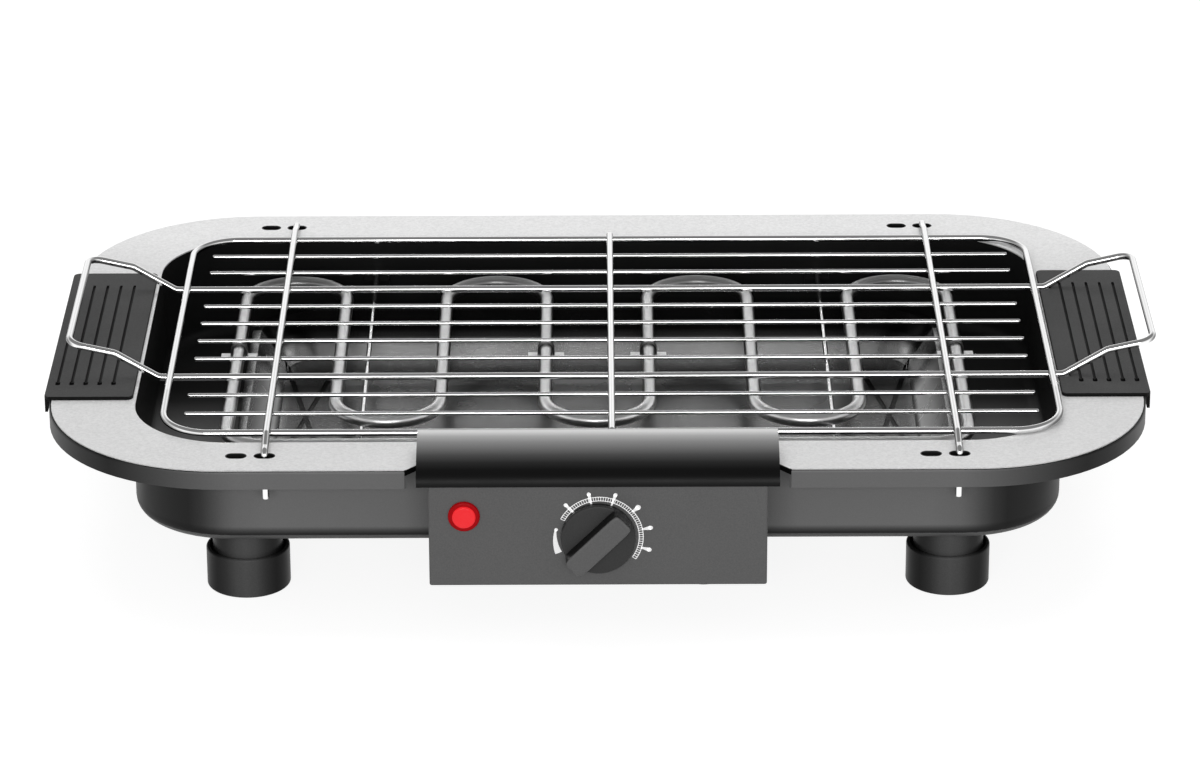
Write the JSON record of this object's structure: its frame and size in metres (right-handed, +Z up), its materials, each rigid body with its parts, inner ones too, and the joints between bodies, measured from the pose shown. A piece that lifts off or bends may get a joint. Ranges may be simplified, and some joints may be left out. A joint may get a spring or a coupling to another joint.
{
  "type": "electric table grill",
  "caption": "Free-standing electric grill: tub on feet, lift-out drip pan and heater with control box and knob, and a lift-off wire rack with raised handles.",
  "frame": {"origin": "on the table, below the middle of the whole object's outline", "axes": "+X runs to the user's right along the grill's length, +Y from the control box to the rear, +Z up"},
  "size_m": [0.5096, 0.331, 0.0982],
  "materials": {
    "tub_enamel": "satin charcoal enamel",
    "rim_facing": "fine-grained pale satin",
    "pad_plastic": "matt, grooved",
    "foot_plastic": "satin black",
    "zinc_steel": "zinc plated",
    "pan_bright": "bright rolled sheet",
    "element_sheath": "drawn stainless tube",
    "rack_chrome": "bright chrome plated wire",
    "panel_paint": "fine matt grey powder coat",
    "hood_paint": "satin dark grey",
    "knob_plastic": "satin black",
    "lamp_red": "translucent red",
    "lamp_ring": "dark red",
    "ceramic_white": "off-white heat-proof moulding",
    "lead_sleeve": "woven glass sleeving"
  },
  "bodies": {
    "base": {"tub_body": "tub_enamel", "rim_plate": "rim_facing", "handle_pad_left": "pad_plastic", "handle_pad_right": "pad_plastic", "pad_screws": "zinc_steel", "foot_stem_front_left": "foot_plastic", "foot_stem_front_right": "foot_plastic", "foot_stem_rear_left": "foot_plastic", "foot_stem_rear_right": "foot_plastic", "foot_cup_front_left": "foot_plastic", "foot_cup_front_right": "foot_plastic", "foot_cup_rear_left": "foot_plastic", "foot_cup_rear_right": "foot_plastic", "foot_screws": "zinc_steel", "foot_nuts": "zinc_steel", "rail_rest_tabs": "tub_enamel"},
    "drip_pan_body": {"drip_pan": "pan_bright"},
    "heater_unit": {"heating_element": "element_sheath", "terminal_pins": "zinc_steel", "tube_ferrules": "zinc_steel", "saddle_clips": "zinc_steel", "cross_rod": "rack_chrome", "support_rails": "rack_chrome", "front_panel": "panel_paint", "box_back": "panel_paint", "control_hood": "hood_paint", "box_screws": "zinc_steel", "hood_screws": "zinc_steel", "thermostat_body": "ceramic_white", "thermostat_nut": "zinc_steel", "lamp_bezel": "lamp_ring", "lamp_lens": "lamp_red", "lamp_clip": "zinc_steel", "terminal_block": "ceramic_white", "thermal_cutout": "ceramic_white", "earth_tag": "zinc_steel", "cord_gland": "foot_plastic", "lead_neutral": "lead_sleeve", "lead_heater": "lead_sleeve", "lead_link": "lead_sleeve", "lead_live": "lead_sleeve", "lead_earth": "lead_sleeve"},
    "knob_body": {"control_knob": "knob_plastic", "thermostat_shaft": "zinc_steel"},
    "rack_body": {"rack_frame": "rack_chrome", "rack_handle_loop": "rack_chrome", "rack_crossbar_left": "rack_chrome", "rack_crossbar_centre": "rack_chrome", "rack_crossbar_right": "rack_chrome", "rack_thin_bars": "rack_chrome"}
  },
  "joints": [
    {"name": "pan_lift", "type": "slide", "parent": "base", "child": "drip_pan_body", "axis": [0, 0, 1], "range_m": [0, 0.05]},
    {"name": "heater_lift", "type": "slide", "parent": "drip_pan_body", "child": "heater_unit", "axis": [0, 0, 1], "range_m": [0, 0.07]},
    {"name": "rack_lift", "type": "slide", "parent": "heater_unit", "child": "rack_body", "axis": [0, 0, 1], "range_m": [0, 0.045]},
    {"name": "knob_turn", "type": "hinge", "parent": "heater_unit", "child": "knob_body", "pos_m": [-0.00225, -0.15385, 0.0486], "axis": [0, 1, 0], "range_deg": [0, 270]}
  ]
}
